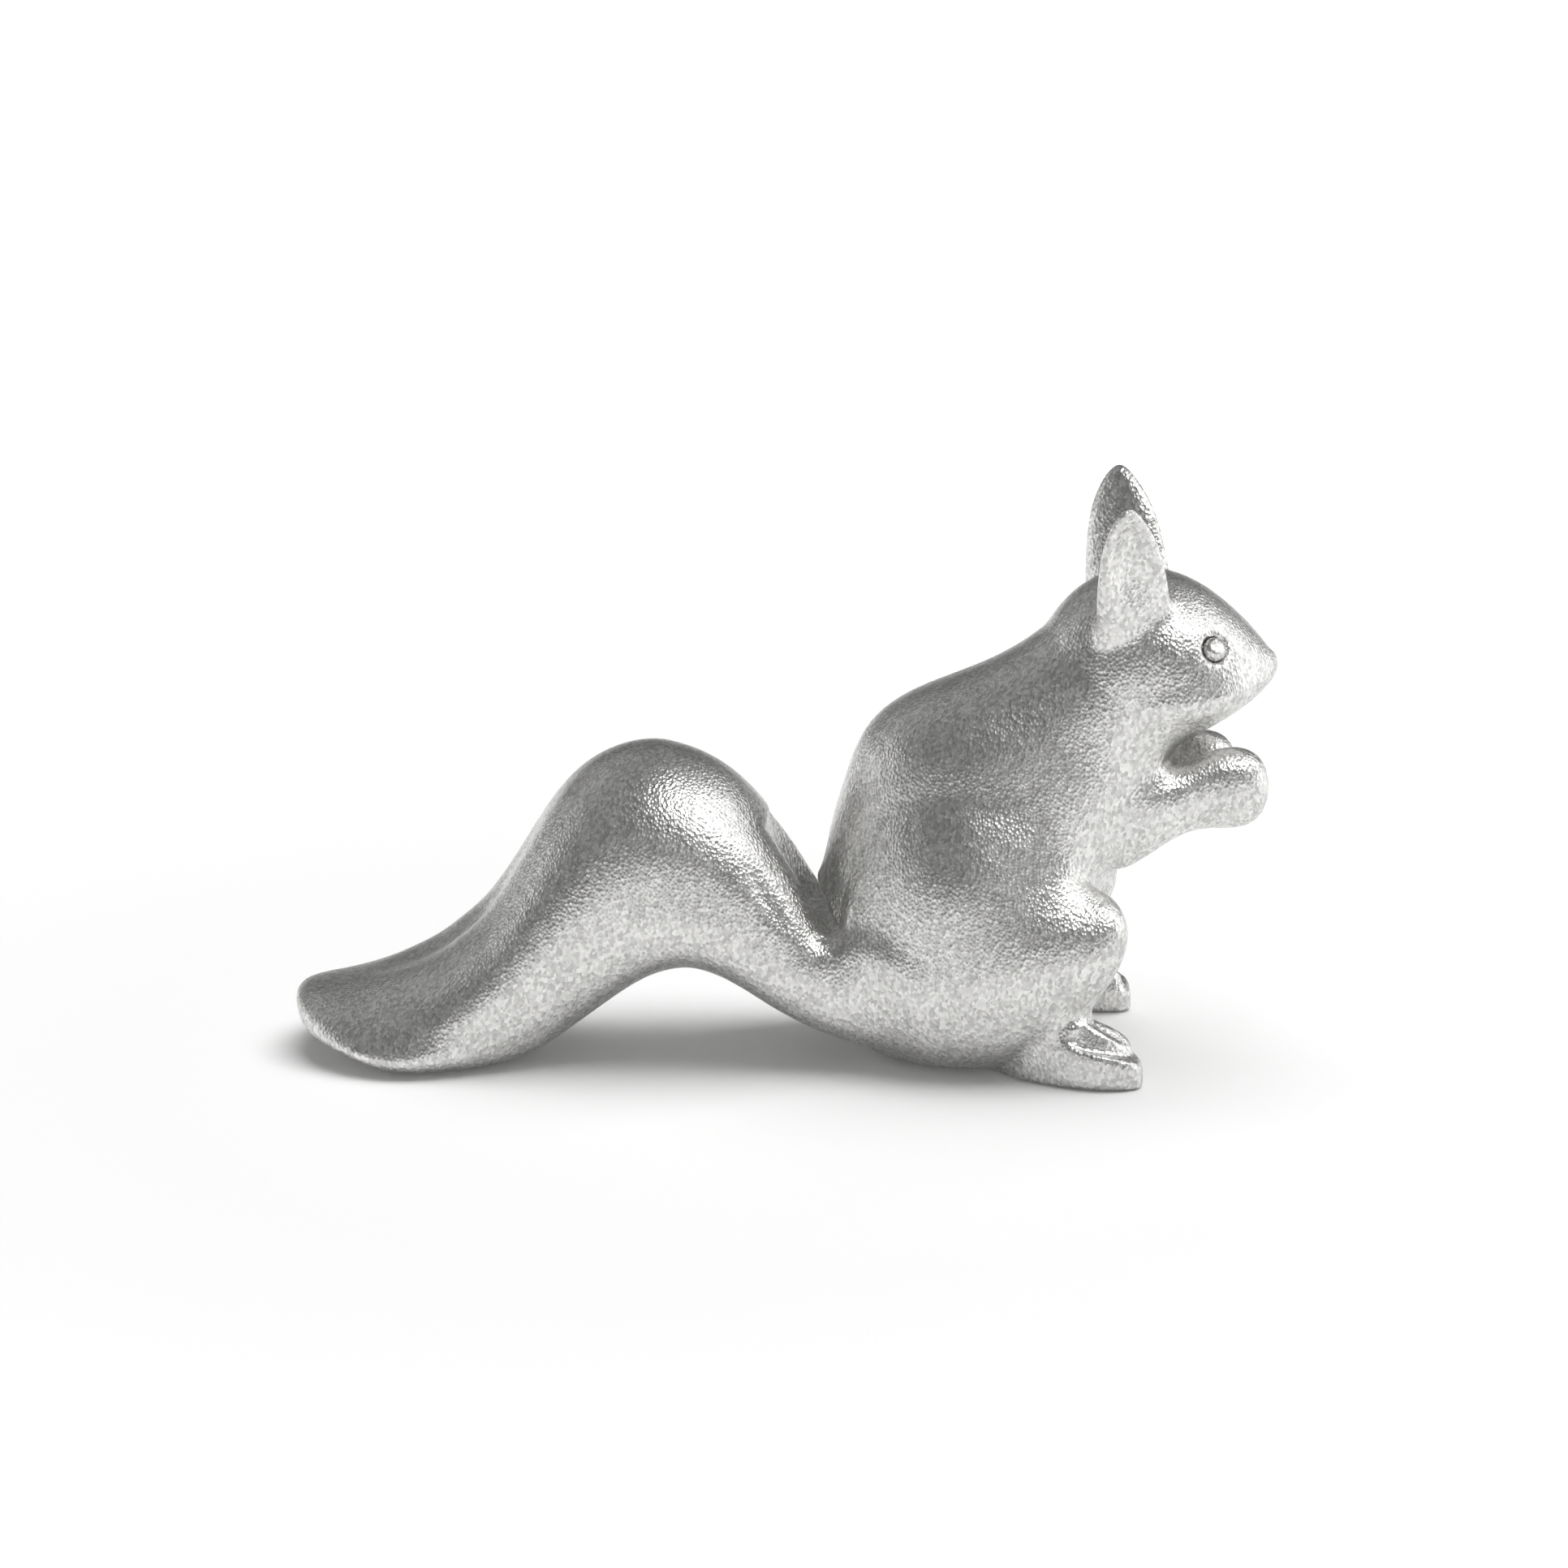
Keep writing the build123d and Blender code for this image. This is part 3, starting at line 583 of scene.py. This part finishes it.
def past_neck(point):
    """How far a point lies past the neck seam, on the head's side."""
    return (point - Vector(NECK_POINT)).dot(Vector(NECK_DIRECTION))


def ear_seam(sign):
    """A point on one ear's seam and the direction out of it."""
    direction = Vector((0, sign * math.sin(EAR_SEAM_LEAN), math.cos(EAR_SEAM_LEAN)))
    return Vector((0, sign * EAR_SEAM_Y, EAR_SEAM_Z)), direction


def piece_of(point):
    """The name of the casting that a point of the skin belongs to."""
    side, sign = SIDES[1] if point.y > 0 else SIDES[0]
    if point.x < TAIL_SEAM_X:
        return "tail"
    if point.z > HAND_TOP_Z:
        seam, direction = ear_seam(sign)
        if point.x > EAR_REAR_X and (point - seam).dot(direction) > 0:
            return "ear_" + side
        return "head" if past_neck(point) > 0 else "torso"
    if point.x > ARM_SEAM_X:
        return "arm_" + side
    ahead = (point.x - ANKLE_X) * math.cos(ANKLE_LEAN) - point.z * math.sin(ANKLE_LEAN)
    if ahead > 0 and point.z < ANKLE_TOP_Z and abs(point.y) > ANKLE_SIDE_Y:
        return "foot_" + side
    return "torso"


def part_skin(skin):
    """Draws all seams on the skin."""
    cut(skin, (TAIL_SEAM_X, 0, 0), (1, 0, 0), lambda p: abs(p.x - TAIL_SEAM_X) < SEAM_REACH)
    cut(skin, NECK_POINT, NECK_DIRECTION, lambda p: p.z > HAND_TOP_Z and abs(past_neck(p)) < SEAM_REACH)
    cut(skin, (ARM_SEAM_X, 0, 0), (1, 0, 0),
        lambda p: abs(p.x - ARM_SEAM_X) < SEAM_REACH and p.z < HAND_TOP_Z)
    for sign in SIGNS:
        part_ear(skin, sign)
        part_foot(skin, sign)


def part_ear(skin, sign):
    """Draws the seam below one ear."""
    seam, direction = ear_seam(sign)

    def beside_seam(p):
        return p.x > EAR_REAR_X and p.y * sign > EAR_INNER_Y and abs((p - seam).dot(direction)) < SEAM_REACH

    cut(skin, seam, direction, beside_seam)


def part_foot(skin, sign):
    """Draws the three seams round one foot: behind it, over it and along its inner side."""
    side = ANKLE_SIDE_Y - SEAM_REACH

    def behind(p):
        low = p.z < ANKLE_TOP_Z + SEAM_REACH
        return low and p.y * sign > side and ANKLE_REAR_X < p.x < ANKLE_FRONT_X

    def over(p):
        return abs(p.z - ANKLE_TOP_Z) < SEAM_REACH and p.y * sign > side and p.x > ANKLE_TOP_REAR_X

    def beside(p):
        low = p.z < ANKLE_TOP_Z + ANKLE_SIDE_RISE
        return low and abs(p.y * sign - ANKLE_SIDE_Y) < SEAM_REACH and p.x > ANKLE_X - SEAM_REACH

    cut(skin, (ANKLE_X, 0, 0), (math.cos(ANKLE_LEAN), 0, -math.sin(ANKLE_LEAN)), behind)
    cut(skin, (0, 0, ANKLE_TOP_Z), (0, 0, 1), over)
    cut(skin, (0, sign * ANKLE_SIDE_Y, 0), (0, 1, 0), beside)


def skin_pieces(skin):
    """One closed object for each casting, with the normals of the whole skin so that no seam shows."""
    skin.normal_update()
    groups = {}
    for face in skin.faces:
        groups.setdefault(piece_of(face.calc_center_median()), []).append(face)
    pieces = {}
    for name, faces in groups.items():
        copies = {}
        normals = []
        piece = bmesh.new()
        for face in faces:
            corners = []
            for vert in face.verts:
                if vert.index not in copies:
                    copies[vert.index] = piece.verts.new(vert.co * MM)
                    normals.append(vert.normal.copy())
                corners.append(copies[vert.index])
            piece.faces.new(corners).smooth = True
        piece.verts.index_update()
        border = [edge for edge in piece.edges if edge.is_boundary]
        caps = bmesh.ops.holes_fill(piece, edges=border, sides=0)["faces"]
        caps = bmesh.ops.triangulate(piece, faces=caps)["faces"]
        for cap in caps:
            cap.smooth = False
        mesh = bpy.data.meshes.new(name + "_skin")
        piece.to_mesh(mesh)
        piece.free()
        custom = []
        for polygon in mesh.polygons:
            for loop in polygon.loop_indices:
                if polygon.use_smooth:
                    custom.append(normals[mesh.loops[loop].vertex_index])
                else:
                    custom.append(polygon.normal.copy())
        mesh.normals_split_custom_set(custom)
        thing = bpy.data.objects.new(name + "_skin", mesh)
        bpy.context.scene.collection.objects.link(thing)
        pieces[name] = thing
    return pieces


def eye_axis(sign):
    """Centre of one eye and the direction that it looks in."""
    level = math.cos(EYE_UPWARD)
    aside = sign * level * math.cos(EYE_FORWARD)
    direction = Vector((level * math.sin(EYE_FORWARD), aside, math.sin(EYE_UPWARD)))
    return Vector((EYE_CENTRE[0], sign * EYE_CENTRE[1], EYE_CENTRE[2])), direction


def eye_stud(word, sign):
    """A round stud with a domed face, turned about its own axis."""
    centre, direction = eye_axis(sign)
    turn = Vector((0, 0, 1)).rotation_difference(direction)
    profile = [(0.0, -EYE_DEPTH), (EYE_RADIUS, -EYE_DEPTH)]
    for step in range(EDGE_STEPS):
        angle = math.radians(EDGE_DEGREES * step)
        radius = EYE_RADIUS - EYE_EDGE * (1 - math.cos(angle))
        profile.append((radius, EYE_PROUD - EYE_EDGE + EYE_EDGE * math.sin(angle)))
    profile.append((0.0, EYE_PROUD + EYE_CROWN))
    stud = bmesh.new()
    rings = []
    for radius, height in profile:
        angles = [2 * math.pi * i / EYE_STEPS for i in range(EYE_STEPS)] if radius else [0.0]
        rings.append([stud.verts.new((radius * math.cos(a), radius * math.sin(a), height)) for a in angles])
    for lower, upper in zip(rings, rings[1:]):
        for i in range(EYE_STEPS):
            corners = [lower[i % len(lower)], lower[(i + 1) % len(lower)],
                       upper[(i + 1) % len(upper)], upper[i % len(upper)]]
            stud.faces.new(list(dict.fromkeys(corners))).smooth = True
    bmesh.ops.recalc_face_normals(stud, faces=stud.faces)
    for vert in stud.verts:
        vert.co = (centre + turn @ vert.co) * MM
    mesh = bpy.data.meshes.new("eye_stud_" + word)
    stud.to_mesh(mesh)
    stud.free()
    thing = bpy.data.objects.new("eye_stud_" + word, mesh)
    bpy.context.scene.collection.objects.link(thing)
    return thing


def new_node(tree, kind, **values):
    """A shader node with its properties set."""
    node = tree.nodes.new(kind)
    for name, value in values.items():
        setattr(node, name, value)
    return node


def grain_cells(tree, coordinates):
    """Small cells, longer along one direction: the height across each, and one random value for each."""
    mapping = new_node(tree, "ShaderNodeMapping")
    mapping.inputs["Rotation"].default_value = GRAIN_TURN
    mapping.inputs["Scale"].default_value = (GRAIN_SCALE, GRAIN_SCALE, GRAIN_SCALE * GRAIN_STRETCH)
    tree.links.new(coordinates, mapping.inputs["Vector"])
    cells = new_node(tree, "ShaderNodeTexVoronoi")
    cells.inputs["Scale"].default_value = 1.0
    tree.links.new(mapping.outputs["Vector"], cells.inputs["Vector"])
    split = new_node(tree, "ShaderNodeSeparateColor")
    tree.links.new(cells.outputs["Color"], split.inputs["Color"])
    return cells.outputs["Distance"], split.outputs["Red"]


def soft_noise(tree, coordinates, scale, detail):
    """Round noise at a scale in cells for each metre."""
    noise = new_node(tree, "ShaderNodeTexNoise")
    noise.inputs["Scale"].default_value = scale
    noise.inputs["Detail"].default_value = detail
    tree.links.new(coordinates, noise.inputs["Vector"])
    return noise.outputs["Fac"]


def mapped(tree, value, source, target):
    """A value moved from one range to another."""
    node = new_node(tree, "ShaderNodeMapRange")
    node.inputs["From Min"].default_value = source[0]
    node.inputs["From Max"].default_value = source[1]
    node.inputs["To Min"].default_value = target[0]
    node.inputs["To Max"].default_value = target[1]
    tree.links.new(value, node.inputs["Value"])
    return node.outputs["Result"]


def bump(tree, height, depth, normal=None):
    """A bump of a depth in metres, laid over another one if there is one."""
    node = new_node(tree, "ShaderNodeBump")
    node.inputs["Strength"].default_value = 1.0
    node.inputs["Distance"].default_value = depth
    tree.links.new(height, node.inputs["Height"])
    if normal is not None:
        tree.links.new(normal, node.inputs["Normal"])
    return node.outputs["Normal"]


def metal(name, colour, roughness, grain=1.0):
    """Satin cast metal with a fine grain of small cells, soft hand-worked ripples and patches of polish."""
    material = bpy.data.materials.new(name)
    material.use_nodes = True
    tree = material.node_tree
    shader = tree.nodes["Principled BSDF"]
    shader.inputs["Metallic"].default_value = 1.0
    coordinates = new_node(tree, "ShaderNodeTexCoord").outputs["Object"]
    patches = soft_noise(tree, coordinates, PATCH_SCALE, PATCH_DETAIL)
    height, chance = grain_cells(tree, coordinates)
    ripples = bump(tree, soft_noise(tree, coordinates, RIPPLE_SCALE, RIPPLE_DETAIL), RIPPLE_DEPTH)
    relief = bump(tree, height, GRAIN_DEPTH * grain, ripples)
    tree.links.new(relief, shader.inputs["Normal"])
    polish = mapped(tree, patches, PATCH_RANGE, (roughness - SATIN_SPREAD, roughness + SATIN_SPREAD))
    tree.links.new(polish, shader.inputs["Roughness"])
    ramp = new_node(tree, "ShaderNodeValToRGB")
    ramp.color_ramp.elements[0].color = (*[value * GRAIN_SHADE for value in colour], 1)
    ramp.color_ramp.elements[1].color = (*colour, 1)
    tree.links.new(chance, ramp.inputs["Fac"])
    tree.links.new(ramp.outputs["Color"], shader.inputs["Base Color"])
    return material


def white_to_the_eye(tree):
    """One for rays from the camera, for shiny rays and for rays through glass, and nothing for others."""
    rays = new_node(tree, "ShaderNodeLightPath")
    shine = new_node(tree, "ShaderNodeMath", operation="MAXIMUM")
    tree.links.new(rays.outputs["Is Glossy Ray"], shine.inputs[0])
    tree.links.new(rays.outputs["Is Transmission Ray"], shine.inputs[1])
    seen = new_node(tree, "ShaderNodeMath", operation="MAXIMUM")
    tree.links.new(rays.outputs["Is Camera Ray"], seen.inputs[0])
    tree.links.new(shine.outputs["Value"], seen.inputs[1])
    return seen.outputs["Value"]


def build_floor():
    """A wide white floor that keeps the figurine's shadow."""
    floor = bmesh.new()
    bmesh.ops.create_grid(floor, x_segments=1, y_segments=1, size=FLOOR_REACH)
    mesh = bpy.data.meshes.new("floor")
    floor.to_mesh(mesh)
    floor.free()
    thing = bpy.data.objects.new("floor", mesh)
    thing.location = (0, 0, -FLOOR_GAP)
    bpy.context.scene.collection.objects.link(thing)
    material = bpy.data.materials.new("floor_white")
    material.use_nodes = True
    tree = material.node_tree
    tree.nodes.clear()
    matt = new_node(tree, "ShaderNodeBsdfDiffuse")
    matt.inputs["Color"].default_value = (FLOOR_WHITE, FLOOR_WHITE, FLOOR_WHITE, 1)
    glow = new_node(tree, "ShaderNodeEmission")
    glow.inputs["Color"].default_value = (1, 1, 1, 1)
    distance = new_node(tree, "ShaderNodeVectorMath", operation="LENGTH")
    tree.links.new(new_node(tree, "ShaderNodeTexCoord").outputs["Object"], distance.inputs[0])
    reach = (FLOOR_NEAR, FLOOR_FAR)
    spread = mapped(tree, distance.outputs["Value"], reach, (FLOOR_GLOW_NEAR, FLOOR_GLOW_FAR))
    strength = new_node(tree, "ShaderNodeMath", operation="MULTIPLY")
    tree.links.new(white_to_the_eye(tree), strength.inputs[0])
    tree.links.new(spread, strength.inputs[1])
    tree.links.new(strength.outputs["Value"], glow.inputs["Strength"])
    add = new_node(tree, "ShaderNodeAddShader")
    tree.links.new(matt.outputs["BSDF"], add.inputs[0])
    tree.links.new(glow.outputs["Emission"], add.inputs[1])
    output = new_node(tree, "ShaderNodeOutputMaterial")
    tree.links.new(add.outputs["Shader"], output.inputs["Surface"])
    mesh.materials.append(material)


def build_world():
    """A grey studio over a pale horizon and a white ground, and plain white for the camera."""
    world = bpy.data.worlds.new("studio")
    bpy.context.scene.world = world
    world.use_nodes = True
    tree = world.node_tree
    tree.nodes.clear()
    coordinates = new_node(tree, "ShaderNodeTexCoord")
    split = new_node(tree, "ShaderNodeSeparateXYZ")
    tree.links.new(coordinates.outputs["Generated"], split.inputs["Vector"])
    ramp = new_node(tree, "ShaderNodeValToRGB")
    height = mapped(tree, split.outputs["Z"], (-1.0, 1.0), (0.0, 1.0))
    ramp.color_ramp.elements[0].position = BELOW_STOP
    ramp.color_ramp.elements[0].color = (*BELOW_GREY, 1)
    ramp.color_ramp.elements[1].position = SKY_STOP
    ramp.color_ramp.elements[1].color = (*SKY_GREY, 1)
    ramp.color_ramp.elements.new(HORIZON_STOP).color = (*HORIZON_GREY, 1)
    ramp.color_ramp.elements.new(LOW_SKY_STOP).color = (*LOW_SKY_GREY, 1)
    tree.links.new(height, ramp.inputs["Fac"])
    room = new_node(tree, "ShaderNodeBackground")
    tree.links.new(ramp.outputs["Color"], room.inputs["Color"])
    white = new_node(tree, "ShaderNodeBackground")
    white.inputs["Color"].default_value = (1, 1, 1, 1)
    rays = new_node(tree, "ShaderNodeLightPath")
    mix = new_node(tree, "ShaderNodeMixShader")
    tree.links.new(rays.outputs["Is Camera Ray"], mix.inputs["Fac"])
    tree.links.new(room.outputs["Background"], mix.inputs[1])
    tree.links.new(white.outputs["Background"], mix.inputs[2])
    output = new_node(tree, "ShaderNodeOutputWorld")
    tree.links.new(mix.outputs["Shader"], output.inputs["Surface"])


def aimed(name, data, way, distance):
    """A lamp or a camera that stands off in a direction and looks at the figurine."""
    thing = bpy.data.objects.new(name, data)
    aim = Vector((0, 0, AIM_HEIGHT))
    thing.location = aim + way * distance
    thing.rotation_euler = (aim - thing.location).to_track_quat("-Z", "Y").to_euler()
    bpy.context.scene.collection.objects.link(thing)
    return thing


def add_lamp(name, way, size, power):
    """A square softbox that looks at the figurine."""
    lamp = bpy.data.lights.new(name, "AREA")
    lamp.shape = "SQUARE"
    lamp.size = size
    lamp.energy = power
    return aimed(name, lamp, Vector(way).normalized(), LAMP_DISTANCE)


def build_lamps():
    """Softboxes whose highlights show on the metal, and a wide one that only lights what is matt."""
    for row in SHINE_LAMPS:
        add_lamp(*row).visible_diffuse = False
    add_lamp(*FILL_LAMP).visible_glossy = False


def build_camera():
    """The photograph's view: level along the side, a little from above."""
    camera = bpy.data.cameras.new("camera")
    camera.sensor_width = SENSOR_WIDTH
    camera.lens = LENS
    camera.clip_start = CLIP_START
    way = Vector((0, -math.cos(CAMERA_TILT), math.sin(CAMERA_TILT)))
    bpy.context.scene.camera = aimed("camera", camera, way, CAMERA_DISTANCE)


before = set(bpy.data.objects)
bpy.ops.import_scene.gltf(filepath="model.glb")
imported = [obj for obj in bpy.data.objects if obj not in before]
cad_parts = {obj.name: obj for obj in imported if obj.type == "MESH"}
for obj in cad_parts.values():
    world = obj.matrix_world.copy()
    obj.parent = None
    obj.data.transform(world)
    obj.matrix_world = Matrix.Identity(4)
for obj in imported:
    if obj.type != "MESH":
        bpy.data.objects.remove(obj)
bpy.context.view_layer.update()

skin = skin_mesh(build_field())
part_skin(skin)
pieces = skin_pieces(skin)
skin.free()
for name, piece in pieces.items():
    piece.data.materials.append(metal(name + "_satin", SILVER, SATIN))
    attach(piece, "root")
    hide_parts(name)
for word, sign in SIDES:
    stud = eye_stud(word, sign)
    stud.data.materials.append(metal("eye_" + word + "_satin", SILVER, SATIN, EYE_GRAIN))
    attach(stud, "root")
    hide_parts("eye_" + word)
steel = metal("dowel_steel", STEEL, STEEL_ROUGHNESS, STEEL_GRAIN)
for name in DOWELS:
    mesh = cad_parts[name].data
    mesh.materials.clear()
    mesh.materials.append(steel)

build_floor()
build_world()
build_lamps()
build_camera()
bpy.context.scene.view_settings.view_transform = "Standard"
